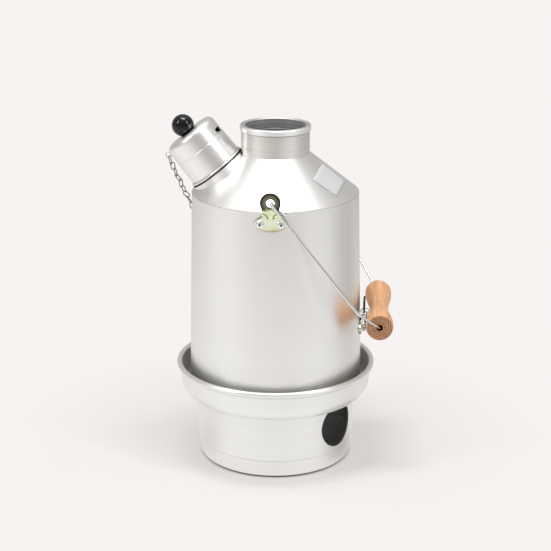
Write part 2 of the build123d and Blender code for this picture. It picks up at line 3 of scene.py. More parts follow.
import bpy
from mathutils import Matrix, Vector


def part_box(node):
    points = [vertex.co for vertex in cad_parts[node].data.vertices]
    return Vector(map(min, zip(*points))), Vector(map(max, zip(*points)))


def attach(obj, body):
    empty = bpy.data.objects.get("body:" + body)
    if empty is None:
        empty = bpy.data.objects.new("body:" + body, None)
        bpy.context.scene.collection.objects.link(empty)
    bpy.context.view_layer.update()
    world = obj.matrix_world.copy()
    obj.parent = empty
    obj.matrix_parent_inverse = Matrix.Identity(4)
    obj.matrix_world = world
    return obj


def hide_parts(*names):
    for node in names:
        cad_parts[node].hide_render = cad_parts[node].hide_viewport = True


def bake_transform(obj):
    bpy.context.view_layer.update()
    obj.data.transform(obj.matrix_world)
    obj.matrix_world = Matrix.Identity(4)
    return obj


bl_info = {
    "name": "Storm Kettle",
    "version": (1, 0, 0),
    "blender": (4, 5, 0),
    "location": "View3D > Sidebar > Kettle",
    "description": "Finishes a storm kettle with its grip, chain, label and studio",
    "category": "Object",
}

from math import atan2, cos, pi, radians, sin

import bmesh
import bpy
from mathutils import Matrix, Vector

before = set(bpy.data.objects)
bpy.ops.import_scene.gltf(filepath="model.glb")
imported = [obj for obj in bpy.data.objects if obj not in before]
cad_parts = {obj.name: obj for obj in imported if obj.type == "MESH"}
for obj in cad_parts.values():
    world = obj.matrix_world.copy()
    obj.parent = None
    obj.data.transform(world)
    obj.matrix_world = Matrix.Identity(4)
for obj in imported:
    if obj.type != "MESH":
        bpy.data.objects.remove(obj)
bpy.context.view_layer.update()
MM = 0.001
UP = Vector((0, 0, 1))

# The spout's axis leaves the middle of the shoulder's cone, tilted back over the -X side
SHOULDER_SLOPE = radians(38.44)
SPOUT_ORIGIN = Vector((-50.35, 0, 264.85)) * MM
SPOUT_AXIS = Vector((-sin(SHOULDER_SLOPE), 0, cos(SHOULDER_SLOPE)))

# The upper edge of the shell, where the shoulder's cone begins
SHELL_RADIUS = 73.85 * MM
SHELL_TOP = 246.2 * MM

# Each lug's eye is a flat ring, and the lower lug's eye lies under the other two
EYE_HOLE = 3.5 * MM
EYE_RIM = 8.8 * MM
LOWER_EYE_DROP = 115.2 * MM

# A height over the lower lug and under the upper ones
BETWEEN_LUGS = 200 * MM

# Where the finish of the chimney and of the neck changes, each from one place to the next
MOUTH_RADII = (27.1 * MM, 27.9 * MM)
MOUTH_HEIGHTS = (304.6 * MM, 305.2 * MM)
LIP_RADII = (30.2 * MM, 30.7 * MM)
LEDGE_HEIGHTS = (296.9 * MM, 297.6 * MM)
NECK_HEIGHTS = (281.2 * MM, 281.8 * MM)

# The edge of the fire base's foot, where it meets the floor
FOOT_RADII = (66.5 * MM, 70.5 * MM)

WIRE_SIDES = 8
PHOTO_PIXELS = 551


# Shader nodes


def linear(text):
    """Turn an sRGB hex colour into the linear values that the shaders take."""
    channels = [int(text[i : i + 2], 16) / 255 for i in (1, 3, 5)]
    return [c / 12.92 if c <= 0.04045 else ((c + 0.055) / 1.055) ** 2.4 for c in channels] + [1.0]


def add_node(tree, kind, settings=None, stops=(), **inputs):
    """Add a shader node, set its properties and a ramp's stops, and link or fill its inputs.

    An input is given by its name, with _ for a space, or by its number after a _. A node that is
    given for an input stands for the first of its outputs that is in use.
    """
    node = tree.nodes.new("ShaderNode" + kind)
    for key, value in (settings or {}).items():
        setattr(node, key, value)
    for number, (place, colour) in enumerate(stops):
        # A new ramp has two stops already
        elements = node.color_ramp.elements
        element = elements[number] if number < 2 else elements.new(place)
        element.position = place
        element.color = linear(colour)
    for key, value in inputs.items():
        socket = node.inputs[int(key[1:])] if key[1:].isdigit() else node.inputs[key.replace("_", " ")]
        if isinstance(value, bpy.types.Node):
            value = next(output for output in value.outputs if output.enabled)
        if isinstance(value, bpy.types.NodeSocket):
            tree.links.new(value, socket)
        else:
            socket.default_value = value
    return node


def new_material(name):
    """Make an empty node material and return it with its tree and the object's own place."""
    material = bpy.data.materials.new(name)
    material.use_nodes = True
    tree = material.node_tree
    tree.nodes.clear()
    return material, tree, add_node(tree, "TexCoord").outputs["Object"]


def painted_crevice_shade(tree, tint, colour, reach_mm, low, high):
    """Paint shade: a dark colour where other surfaces lie within a short reach."""
    crevice = add_node(tree, "AmbientOcclusion", {"samples": 8}, Distance=reach_mm * MM)
    undarkened = add_node(tree, "MapRange", Value=crevice.outputs["AO"], From_Min=low, From_Max=high)
    return add_node(tree, "Mix", {"data_type": "RGBA"}, _0=undarkened, _6=linear(colour), _7=tint)


def cover(obj, material):
    """Give every face of an object one material."""
    obj.data.materials.clear()
    obj.data.materials.append(material)
    return obj


# Materials


def spun_aluminium(
    name, colours, roughness, line_mm=1.8, origin=(0, 0, 0), axis=(0, 0, 1), flue=None, neck=None
):
    """Spun sheet aluminium, satin from the lathe: pale, with fine rings left by the tool.

    The rings run round an axis and draw every reflection out across themselves. Real ones lie
    about 0.2 mm apart, too fine for the picture, so they are drawn at line_mm. A flue has four
    colours more, given by name, and a neck has two, for the grooves and between them.
    """
    material, tree, place = new_material(name)
    offset = add_node(tree, "VectorMath", {"operation": "SUBTRACT"}, _0=place, _1=origin)
    height = add_node(tree, "VectorMath", {"operation": "DOT_PRODUCT"}, _0=offset, _1=axis)
    round_axis = add_node(tree, "VectorMath", {"operation": "CROSS_PRODUCT"}, _0=axis, _1=offset)
    radius = add_node(tree, "VectorMath", {"operation": "LENGTH"}, _0=round_axis)
    rings = add_node(tree, "CombineXYZ", X=radius, Y=height)
    lathe = add_node(tree, "TexNoise", Vector=rings, Scale=1 / (line_mm * MM), Detail=1.0, Roughness=0.5)
    tint = add_node(tree, "ValToRGB", stops=((0.35, colours[0]), (0.65, colours[1])), Fac=lathe)
    # Handling leaves soft, slightly duller patches a few centimetres wide
    patches = add_node(tree, "TexNoise", Vector=place, Scale=1 / (35 * MM), Detail=2.0)
    dullness = add_node(
        tree,
        "MapRange",
        Value=patches,
        From_Min=0.35,
        From_Max=0.7,
        To_Min=roughness - 0.01,
        To_Max=roughness + 0.02,
    )
    sheen = 1.0
    if flue is not None:
        tint, dullness, sheen = darker_inside(tree, flue, lathe, radius, height, tint, dullness)
    if neck is not None:
        tint, dullness = coarse_above(tree, neck, lathe, height, tint, dullness)
    # Painted shade: seams and the edges of what is fixed to the sheet get a thin dark line
    tint = painted_crevice_shade(tree, tint, "#5A5854", 3, 0.52, 0.88)
    bump = add_node(tree, "Bump", Strength=0.03, Distance=0.01 * MM, Height=lathe)
    tangent = add_node(tree, "VectorMath", {"operation": "NORMALIZE"}, _0=round_axis)
    shader = add_node(
        tree,
        "BsdfPrincipled",
        Base_Color=tint,
        Metallic=sheen,
        Roughness=dullness,
        Anisotropic=0.55,
        Anisotropic_Rotation=0.25,
        Normal=bump,
        Tangent=tangent,
    )
    add_node(tree, "OutputMaterial", Surface=shader)
    return material


def darker_inside(tree, flue, lathe, radius, height, tint, dullness):
    """Make the flue's inside darker grey, duller and less metallic, and darker still from its upper
    ledge down.

    The rolled lip round the mouth is paler: painted highlight.
    """
    outside = add_node(tree, "MapRange", Value=radius, From_Min=MOUTH_RADII[0], From_Max=MOUTH_RADII[1])
    top = add_node(tree, "MapRange", Value=height, From_Min=MOUTH_HEIGHTS[0], From_Max=MOUTH_HEIGHTS[1])
    bright = add_node(tree, "Math", {"operation": "MAXIMUM"}, _0=outside, _1=top)
    # Painted highlight: the rolled lip outside gets a paler colour
    lip = add_node(tree, "MapRange", Value=radius, From_Min=LIP_RADII[0], From_Max=LIP_RADII[1])
    tint = add_node(tree, "Mix", {"data_type": "RGBA"}, _0=lip, _6=tint, _7=linear(flue["lip"]))
    dulled = add_node(
        tree,
        "ValToRGB",
        stops=((0.3, flue["groove"]), (0.7, flue["metal"])),
        Fac=lathe,
    )
    # Darker still from the upper ledge down
    undarkened = add_node(tree, "MapRange", Value=height, From_Min=LEDGE_HEIGHTS[0], From_Max=LEDGE_HEIGHTS[1])
    dulled = add_node(tree, "Mix", {"data_type": "RGBA"}, _0=undarkened, _6=linear(flue["below_ledge"]), _7=dulled)
    return (
        add_node(tree, "Mix", {"data_type": "RGBA"}, _0=bright, _6=dulled, _7=tint),
        add_node(tree, "Mix", {"data_type": "FLOAT"}, _0=bright, _2=0.5, _3=dullness),
        add_node(tree, "MapRange", Value=bright, To_Min=0.3, To_Max=1.0),
    )


def coarse_above(tree, neck, lathe, height, tint, dullness):
    """Make the neck coarser and a little duller than the cone below it."""
    above = add_node(tree, "MapRange", Value=height, From_Min=NECK_HEIGHTS[0], From_Max=NECK_HEIGHTS[1])
    coarse = add_node(tree, "ValToRGB", stops=((0.35, neck[0]), (0.65, neck[1])), Fac=lathe)
    extra = 0.16
    return (
        add_node(tree, "Mix", {"data_type": "RGBA"}, _0=above, _6=tint, _7=coarse),
        add_node(tree, "Math", {"operation": "MULTIPLY_ADD"}, _0=above, _1=extra, _2=dullness),
    )


def cast_aluminium(name, colour, roughness):
    """Headed rivet aluminium: bright and smooth, with faint marks of the setting tool."""
    material, tree, place = new_material(name)
    marks = add_node(tree, "TexNoise", Vector=place, Scale=1 / (0.8 * MM), Detail=3.0)
    dullness = add_node(
        tree,
        "MapRange",
        Value=marks,
        From_Min=0.3,
        From_Max=0.7,
        To_Min=roughness - 0.04,
        To_Max=roughness + 0.06,
    )
    colour = linear(colour)
    shader = add_node(tree, "BsdfPrincipled", Base_Color=colour, Metallic=1.0, Roughness=dullness)
    add_node(tree, "OutputMaterial", Surface=shader)
    return material


def plated_wire(name, colour, roughness):
    """Plated or plain steel wire: bright or dull as given, with faint spots."""
    material, tree, place = new_material(name)
    spots = add_node(tree, "TexNoise", Vector=place, Scale=1 / (2.5 * MM), Detail=4.0)
    dullness = add_node(
        tree,
        "MapRange",
        Value=spots,
        From_Min=0.3,
        From_Max=0.75,
        To_Min=roughness - 0.05,
        To_Max=roughness + 0.1,
    )
    colour = linear(colour)
    shader = add_node(tree, "BsdfPrincipled", Base_Color=colour, Metallic=1.0, Roughness=dullness)
    add_node(tree, "OutputMaterial", Surface=shader)
    return material


def passivated_zinc(name, hinge_height):
    """Zinc-plated steel with a yellow passivate: pale yellow-green, tinged brown at its lower edge.

    The flat eyes are coloured dark olive in rings: painted reflection of the dark room on the
    film's olive tint. The upper eyes' middles lie at hinge_height.
    """
    material, tree, place = new_material(name)
    clouds = add_node(tree, "TexNoise", Vector=place, Scale=1 / (6 * MM), Detail=3.0, Distortion=0.8)
    split = add_node(tree, "SeparateXYZ", Vector=place).outputs
    height = split["Z"]
    # Places are measured from the nearer eye's middle, for the upper lugs and the lower one
    upper = add_node(tree, "Math", {"operation": "SUBTRACT"}, _0=height, _1=hinge_height)
    lower = add_node(tree, "Math", {"operation": "ADD"}, _0=upper, _1=LOWER_EYE_DROP)
    is_lower = add_node(tree, "Math", {"operation": "LESS_THAN"}, _0=height, _1=BETWEEN_LUGS)
    over_eye = add_node(tree, "Mix", {"data_type": "FLOAT"}, _0=is_lower, _2=upper, _3=lower)
    aside = add_node(tree, "Mix", {"data_type": "FLOAT"}, _0=is_lower, _2=split["X"], _3=split["Y"])
    # The borders between the tones are cloudy, by up to this much
    clouding = 7 * MM
    clouded = add_node(
        tree,
        "Math",
        {"operation": "MULTIPLY_ADD"},
        _0=clouds,
        _1=clouding,
        _2=over_eye,
    )
    share = add_node(tree, "MapRange", Value=clouded, From_Min=-23 * MM, From_Max=-6 * MM)
    plate = add_node(
        tree,
        "ValToRGB",
        stops=((0.02, "#C99A62"), (0.22, "#F2F5D2"), (0.55, "#F6FFEC"), (0.90, "#F1FAD0")),
        Fac=share,
    )
    # Painted reflection: the flat eye is coloured in rings, nearly black at the rim, for the dark room
    # it mirrors; the olive tint is the film's own
    eye_place = add_node(tree, "CombineXYZ", X=aside, Y=over_eye)
    eye_radius = add_node(tree, "VectorMath", {"operation": "LENGTH"}, _0=eye_place)
    eye_share = add_node(tree, "MapRange", Value=eye_radius, From_Min=EYE_HOLE, From_Max=EYE_RIM)
    painted_eye_reflection = add_node(
        tree,
        "ValToRGB",
        stops=(
            (0.0, "#3E3D31"),
            (0.16, "#817F6D"),
            (0.5, "#6F6D5C"),
            (0.72, "#4C4B3D"),
            (0.86, "#3F3E31"),
            (1.0, "#24231B"),
        ),
        Fac=eye_share,
    )
    in_eye = add_node(tree, "MapRange", Value=clouded, From_Min=-4.2 * MM, From_Max=-1.6 * MM)
    tint = add_node(tree, "Mix", {"data_type": "RGBA"}, _0=in_eye, _6=plate, _7=painted_eye_reflection)
    # Painted shade: a dark colour round the rivets' heads and at the pressed corners
    tint = painted_crevice_shade(tree, tint, "#4A4838", 2.2, 0.45, 0.8)
    shader = add_node(tree, "BsdfPrincipled", Base_Color=tint, Metallic=1.0, Roughness=0.22)
    add_node(tree, "OutputMaterial", Surface=shader)
    return material


def phenolic(name, colour, roughness):
    """Moulded black phenolic: deep, polished and dielectric."""
    material, tree, place = new_material(name)
    haze = add_node(tree, "TexNoise", Vector=place, Scale=1 / (6 * MM), Detail=3.0)
    dullness = add_node(
        tree,
        "MapRange",
        Value=haze,
        From_Min=0.3,
        From_Max=0.8,
        To_Min=roughness,
        To_Max=roughness + 0.05,
    )
    shader = add_node(
        tree,
        "BsdfPrincipled",
        Base_Color=linear(colour),
        Roughness=dullness,
        IOR=1.5,
        Specular_IOR_Level=0.42,
    )
    add_node(tree, "OutputMaterial", Surface=shader)
    return material


def rubber(name, colour):
    """Moulded black rubber: matte, with a fine powdery grain."""
    material, tree, place = new_material(name)
    grain = add_node(tree, "TexNoise", Vector=place, Scale=1 / (0.6 * MM), Detail=2.0)
    bump = add_node(tree, "Bump", Strength=0.2, Distance=0.03 * MM, Height=grain)
    shader = add_node(tree, "BsdfPrincipled", Base_Color=linear(colour), Roughness=0.6, Normal=bump)
    add_node(tree, "OutputMaterial", Surface=shader)
    return material


def beech(name, side, end):
    """Steamed beech, turned and oiled: pinkish, with short dark flecks along the grain.

    The grain runs along the object's own Z axis, and the sawn ends are darker.
    """
    material, tree, place = new_material(name)
    stretched = add_node(tree, "Mapping", Vector=place, Scale=(1.0, 1.0, 0.07))
    growth = add_node(
        tree,
        "TexNoise",
        Vector=stretched,
        Scale=1 / (3.2 * MM),
        Detail=4.0,
        Distortion=0.8,
    )
    side_tint = add_node(
        tree,
        "ValToRGB",
        stops=((0.30, side[0]), (0.52, side[1]), (0.72, side[2])),
        Fac=growth,
    )
    # Ray flecks are about 2 mm long and a third of a millimetre wide
    fleck_place = add_node(tree, "Mapping", Vector=place, Scale=(1.0, 1.0, 0.22))
    flecks = add_node(tree, "TexVoronoi", Vector=fleck_place, Scale=1 / (0.9 * MM))
    fleck_mask = add_node(tree, "MapRange", Value=flecks, From_Min=0.12, From_Max=0.3, To_Min=0.55)
    fleck_strength = 0.45
    flecked = add_node(
        tree,
        "Mix",
        {"data_type": "RGBA", "blend_type": "MULTIPLY"},
        _0=fleck_strength,
        _6=side_tint,
        _7=fleck_mask,
    )
    # The sawn ends face along the grain
    normal = add_node(tree, "TexCoord").outputs["Normal"]
    facing = add_node(tree, "SeparateXYZ", Vector=normal).outputs["Z"]
    lengthwise = add_node(tree, "Math", {"operation": "ABSOLUTE"}, _0=facing)
    is_end = add_node(tree, "MapRange", Value=lengthwise, From_Min=0.6, From_Max=0.9)
    end_tint = end_grain(tree, place, end)
    tint = add_node(tree, "Mix", {"data_type": "RGBA"}, _0=is_end, _6=flecked, _7=end_tint)
    # Painted shade: the bore is coloured nearly black
    middle = add_node(tree, "Mapping", Vector=place, Scale=(1.0, 1.0, 0.0))
    bore = add_node(tree, "VectorMath", {"operation": "LENGTH"}, _0=middle)
    outside = add_node(tree, "MapRange", Value=bore, From_Min=2.7 * MM, From_Max=3.0 * MM)
    tint = add_node(tree, "Mix", {"data_type": "RGBA"}, _0=outside, _6=linear("#1E120B"), _7=tint)
    bump = add_node(tree, "Bump", Strength=0.25, Distance=0.05 * MM, Height=growth)
    shader = add_node(tree, "BsdfPrincipled", Base_Color=tint, Roughness=0.48, Normal=bump)
    add_node(tree, "OutputMaterial", Surface=shader)
    return material


def end_grain(tree, place, colours):
    """Growth rings 1.6 mm apart show as arcs on the sawn ends, between dark open pores."""
    off_centre = add_node(tree, "Mapping", Vector=place, Location=(5 * MM, 3 * MM, 0))
    # A wave texture's rings lie pi / 10 apart at a scale of 1
    rings = add_node(
        tree,
        "TexWave",
        {"wave_type": "RINGS", "rings_direction": "Z"},
        Vector=off_centre,
        Scale=pi / 10 / (1.6 * MM),
        Distortion=3.0,
        Detail=3.0,
    )
    pores = add_node(tree, "TexNoise", Vector=place, Scale=1 / (0.8 * MM), Detail=2.0)
    pore_share = 0.7
    grainy = add_node(
        tree,
        "Mix",
        {"data_type": "FLOAT"},
        _0=pore_share,
        _2=rings.outputs["Fac"],
        _3=pores,
    )
    return add_node(tree, "ValToRGB", stops=((0.4, colours[0]), (0.58, colours[1])), Fac=grainy)


def paper(name, colours):
    """Coated label paper: white, with a slight sheen and a soft fibre mottle."""
    material, tree, place = new_material(name)
    fibres = add_node(tree, "TexNoise", Vector=place, Scale=1 / (1.2 * MM), Detail=5.0)
    tint = add_node(tree, "ValToRGB", stops=((0.3, colours[0]), (0.7, colours[1])), Fac=fibres)
    bump = add_node(tree, "Bump", Strength=0.1, Distance=0.02 * MM, Height=fibres)
    shader = add_node(tree, "BsdfPrincipled", Base_Color=tint, Roughness=0.4, Normal=bump)
    add_node(tree, "OutputMaterial", Surface=shader)
    return material


# Shapes


def mesh_from(shape, name):
    """Turn a finished bmesh into a mesh."""
    mesh = bpy.data.meshes.new(name)
    shape.to_mesh(mesh)
    shape.free()
    return mesh


def link_object(name, mesh, matrix=None):
    """Put a mesh into the scene as a smooth-shaded object."""
    obj = bpy.data.objects.new(name, mesh)
    bpy.context.scene.collection.objects.link(obj)
    if matrix is not None:
        obj.matrix_world = matrix
    for polygon in mesh.polygons:
        polygon.use_smooth = True
    return obj


def arc(centre, radius, start, end, steps):
    """Points along an arc in a profile, with angles in degrees."""
    turns = [radians(start + (end - start) * i / steps) for i in range(steps + 1)]
    return [(centre[0] + radius * cos(t), centre[1] + radius * sin(t)) for t in turns]


def turned_axes(along, across, out, place):
    """Make the matrix that turns X, Y and Z to three directions and moves to a place."""
    return Matrix.Translation(place) @ Matrix((along, across, out)).transposed().to_4x4()


def spun_mesh(name, profile, steps):
    """Turn a profile of (radius, height) points in millimetres round Z."""
    shape = bmesh.new()
    rows = []
    turns = [2 * pi * i / steps for i in range(steps)]
    for radius, height in profile:
        if radius == 0:
            rows.append([shape.verts.new((0, 0, height * MM))] * steps)
            continue
        rows.append(
            [shape.verts.new((radius * MM * cos(t), radius * MM * sin(t), height * MM)) for t in turns]
        )
    for lower, upper in zip(rows, rows[1:]):
        for i in range(steps):
            j = (i + 1) % steps
            corners = [lower[i], lower[j], upper[j], upper[i]]
            corners = [c for n, c in enumerate(corners) if c not in corners[:n]]
            if len(corners) > 2:
                shape.faces.new(corners)
    bmesh.ops.recalc_face_normals(shape, faces=shape.faces)
    return mesh_from(shape, name)


def islands(obj):
    """Split an object's mesh into lists of corner points, one for each separate piece."""
    parent = list(range(len(obj.data.vertices)))

    def root(i):
        while parent[i] != i:
            parent[i] = parent[parent[i]]
            i = parent[i]
        return i

    # Corners in one place, to a tenth of a micron, belong to one piece
    digits = 7
    seen = {}
    for vertex in obj.data.vertices:
        key = tuple(round(c, digits) for c in vertex.co)
        parent[root(vertex.index)] = root(seen.setdefault(key, vertex.index))
    for edge in obj.data.edges:
        parent[root(edge.vertices[0])] = root(edge.vertices[1])
    groups = {}
    for vertex in obj.data.vertices:
        groups.setdefault(root(vertex.index), []).append(vertex.co.copy())
    return list(groups.values())


def add_ring(shape, centre, first, second, radius, sides):
    """Add the corners of a round section to a bmesh."""
    turns = [2 * pi * k / sides for k in range(sides)]
    return [shape.verts.new(centre + (first * cos(t) + second * sin(t)) * radius) for t in turns]


def join_rings(shape, pairs):
    """Close the wall between each pair of sections."""
    for a, b in pairs:
        for k in range(len(a)):
            after = (k + 1) % len(a)
            shape.faces.new((a[k], b[k], b[after], a[after]))


def tube_loop(shape, path, radius, sides, matrix):
    """Sweep a round section along a closed flat path of points, moved into place by a matrix."""
    rings = []
    for i, point in enumerate(path):
        along = (path[(i + 1) % len(path)] - path[i - 1]).normalized()
        out = along.cross(UP).normalized()
        ring = add_ring(shape, point, out, UP, radius, sides)
        bmesh.ops.transform(shape, matrix=matrix, verts=ring)
        rings.append(ring)
    join_rings(shape, zip(rings, rings[1:] + rings[:1]))


def open_tube(shape, path, radius, sides):
    """Sweep a round section along an open path, drawn out nearly to a point at both ends."""
    tip_share = 0.15
    rings = []
    first = None
    for i, point in enumerate(path):
        along = (path[min(i + 1, len(path) - 1)] - path[max(i - 1, 0)]).normalized()
        if first is None:
            first = along.orthogonal().normalized()
        # Each section keeps the turn of the one before it
        first = (first - along * first.dot(along)).normalized()
        size = radius * (tip_share if i in (0, len(path) - 1) else 1.0)
        rings.append(add_ring(shape, point, first, along.cross(first), size, sides))
    join_rings(shape, zip(rings, rings[1:]))
    shape.faces.new(rings[0])
    shape.faces.new(list(reversed(rings[-1])))


def upper_eye_height():
    """Height of the upper lugs' eyes, whose rims reach up to the lugs' tops."""
    _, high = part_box("lug_front")
    return high.z - EYE_RIM


# Settings


class KettleMetals(bpy.types.PropertyGroup):
    """Colours and finish of the kettle's metals."""

    aluminium: bpy.props.StringProperty(
        name="Aluminium",
        description="Colour of the spun aluminium in the tool's grooves as sRGB hex",
        default="#F4F3F1",
    )
    aluminium_light: bpy.props.StringProperty(
        name="Aluminium, light",
        description="Colour of the spun aluminium between the grooves as sRGB hex",
        default="#F5F5F4",
    )
    aluminium_roughness: bpy.props.FloatProperty(
        name="Aluminium roughness",
        description="How far the satin metal blurs what it reflects",
        default=0.36,
        min=0.0,
        max=1.0,
    )
    wire: bpy.props.StringProperty(
        name="Wire",
        description="Colour of the bail's plated wire and of the small steel parts as sRGB hex",
        default="#E4E3E0",
    )


class KettleGrip(bpy.types.PropertyGroup):
    """Sizes of the turned wooden grip."""

    end_round: bpy.props.FloatProperty(
        name="End rounding",
        description="Radius of the sanded edge at each end",
        default=0.9 * MM,
        subtype="DISTANCE",
        unit="LENGTH",
    )
    bore: bpy.props.FloatProperty(
        name="Bore",
        description="Radius of the hole for the bail wire",
        default=2.6 * MM,
        subtype="DISTANCE",
        unit="LENGTH",
    )


class KettleLabel(bpy.types.PropertyGroup):
    """Size of the paper label on the shoulder."""

    height: bpy.props.FloatProperty(
        name="Height",
        description="The label's side that runs up the shoulder",
        default=25.5 * MM,
        subtype="DISTANCE",
        unit="LENGTH",
    )
    width: bpy.props.FloatProperty(
        name="Width",
        description="The label's side that runs round the shoulder",
        default=36.0 * MM,
        subtype="DISTANCE",
        unit="LENGTH",
    )
    lift: bpy.props.FloatProperty(
        name="Lift",
        description="How far the middle of the paper lies off the metal",
        default=0.12 * MM,
        subtype="DISTANCE",
        unit="LENGTH",
    )


class KettleStage(bpy.types.PropertyGroup):
    """The backdrop and the camera."""

    backdrop: bpy.props.StringProperty(
        name="Backdrop",
        description="Colour of the background as sRGB hex",
        default="#F7F3F2",
    )
    lens_pixels: bpy.props.FloatProperty(
        name="Focal length",
        description="The camera's focal length in pixels of the 551-pixel photograph",
        default=1415.0,
    )
    distance: bpy.props.FloatProperty(
        name="Distance",
        description="Level distance from the kettle's axis to the camera",
        default=1.213,
        subtype="DISTANCE",
        unit="LENGTH",
    )
    height: bpy.props.FloatProperty(
        name="Height",
        description="Height of the camera over the floor",
        default=0.5595,
        subtype="DISTANCE",
        unit="LENGTH",
    )
    pitch: bpy.props.FloatProperty(
        name="Pitch",
        description="How far the camera looks down",
        default=radians(17.93),
        subtype="ANGLE",
        unit="ROTATION",
    )
    azimuth: bpy.props.FloatProperty(
        name="Azimuth",
        description="How far the camera stands round towards +X",
        default=radians(3.2),
        subtype="ANGLE",
        unit="ROTATION",
    )


# Operators


class KETTLE_OT_metals(bpy.types.Operator):
    """Finish the spun, pressed and plated metal parts."""

    bl_idname = "kettle.metals"
    bl_label = "Metal parts"

    def execute(self, context):
        metals = context.scene.kettle_metals
        pale = (metals.aluminium, metals.aluminium_light)
        dull = metals.aluminium_roughness
        shell = spun_aluminium("spun_satin_aluminium", pale, dull)
        neck = spun_aluminium("spun_neck_aluminium", pale, dull, neck=("#E4E3DF", "#EAE9E5"))
        flue = spun_aluminium(
            "spun_flue_aluminium",
            ("#C6C5C0", "#E2E1DD"),
            dull + 0.12,
            line_mm=2.2,
            flue={"groove": "#9A9A9E", "metal": "#B0B1B4", "below_ledge": "#707074", "lip": "#FAFAF9"},
        )
        pan = spun_aluminium("spun_pan_aluminium", pale, dull + 0.02)
        cap = spun_aluminium(
            "spun_cap_aluminium",
            pale,
            dull,
            line_mm=1.3,
            origin=SPOUT_ORIGIN,
            axis=SPOUT_AXIS,
        )
        rivet = cast_aluminium("headed_rivet_aluminium", "#EDEDEC", 0.16)
        wire = plated_wire("plated_steel_wire", metals.wire, 0.12)
        zinc = passivated_zinc("passivated_zinc_steel", upper_eye_height())
        finishes = {
            shell: ("body_shell",),
            neck: ("shoulder",),
            flue: ("chimney",),
            pan: ("fire_base",),
            cap: ("cap_shell", "spout_collar", "whistle_capsule"),
            rivet: ("lug_rivets",),
            wire: (
                "bail_wire",
                "chain_ring",
                "chain_staple",
                "staple_washer",
                "knob_nut",
                "knob_stud",
                "knob_washer",
                "chain_upper",
                "chain_lower",
            ),
            zinc: ("lug_front", "lug_rear", "lug_lower"),
        }
        for material, names in finishes.items():
            for name in names:
                cover(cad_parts[name], material)
        return {"FINISHED"}


class KETTLE_OT_mandrels(bpy.types.Operator):
    """Leave the broken steel mandrel in the middle of each rivet's head, nearly black as painted shade.
    """

    bl_idname = "kettle.mandrels"
    bl_label = "Rivet mandrels"

    def execute(self, context):
        # In millimetres. The head's top and the mandrel's edge both stand out from the shell.
        head_out, edge_out, radius, depth = 2.9, 2.1, 0.95, 0.5
        # The broken face rises to a ridge, and dips inside it
        ridge_radius, ridge_rise, middle_rise = 0.7 * radius, 0.12, 0.05
        profile = [
            (0, -depth),
            (radius, -depth),
            (radius, 0),
            (ridge_radius, ridge_rise),
            (0, middle_rise),
        ]
        # The mandrel's nearly black colour is painted shade of the rivet's hole
        shaded_steel = plated_wire("broken_mandrel_painted_shade", "#3A3835", 0.45)
        for number, points in enumerate(islands(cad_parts["lug_rivets"])):
            centre = sum(points, Vector()) / len(points)
            turn = atan2(centre.y, centre.x)
            outward = Vector((cos(turn), sin(turn), 0))
            across = Vector((-sin(turn), cos(turn), 0))
            head = max(point.dot(outward) for point in points)
            place = outward * (head - (head_out - edge_out) * MM) + UP * centre.z
            mesh = spun_mesh(f"mandrel_{number}", profile, 24)
            mandrel = link_object(f"mandrel_{number}", mesh, turned_axes(across, UP, outward, place))
            cover(mandrel, shaded_steel)
            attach(mandrel, "kettle")
        return {"FINISHED"}


class KETTLE_OT_ribs(bpy.types.Operator):
    """Press the two stiffening ribs into the step of each lug."""

    bl_idname = "kettle.ribs"
    bl_label = "Lug ribs"

    def execute(self, context):
        # The ribs are coloured dark olive: painted shade of the pressed creases
        zinc = plated_wire("passivated_zinc_fold_shade", "#77754F", 0.4)
        upper = upper_eye_height()
        lugs = (
            ("lug_front", Vector((0, -1, 0)), upper),
            ("lug_rear", Vector((0, 1, 0)), upper),
            ("lug_lower", Vector((1, 0, 0)), upper - LOWER_EYE_DROP),
        )
        # Each rib curves round a rivet's pad, from the strip's edge to beside its middle
        pad, drop, bend, section = 7.4 * MM, 14.0 * MM, 5.0 * MM, 0.42 * MM
        curve = arc((0, 0), 1.0, -8, 82, 14)
        clear_outside = 0.2
        for name, outward, eye_height in lugs:
            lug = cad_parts[name]
            across = outward.cross(UP)
            shape = bmesh.new()
            for side in (-1, 1):
                path = []
                for x, z in curve:
                    aside = side * (-pad + x * bend)
                    height = eye_height - drop + z * bend
                    start = outward * clear_outside + across * aside + UP * height
                    hit, place, _, _ = lug.ray_cast(start, -outward)
                    if not hit:
                        raise RuntimeError(f"no surface for a rib of {name}")
                    path.append(place)
                open_tube(shape, path, section, WIRE_SIDES)
            ribs = cover(link_object(name + "_ribs", mesh_from(shape, name + "_ribs")), zinc)
            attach(ribs, "kettle")
        return {"FINISHED"}


class KETTLE_OT_mouldings(bpy.types.Operator):
    """Finish the ball knob and the spout's seal."""

    bl_idname = "kettle.mouldings"
    bl_label = "Knob and seal"

    def execute(self, context):
        cover(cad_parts["knob_ball"], phenolic("moulded_black_phenolic", "#020202", 0.015))
        cover(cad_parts["spout_seal"], rubber("moulded_black_rubber", "#151414"))
        return {"FINISHED"}


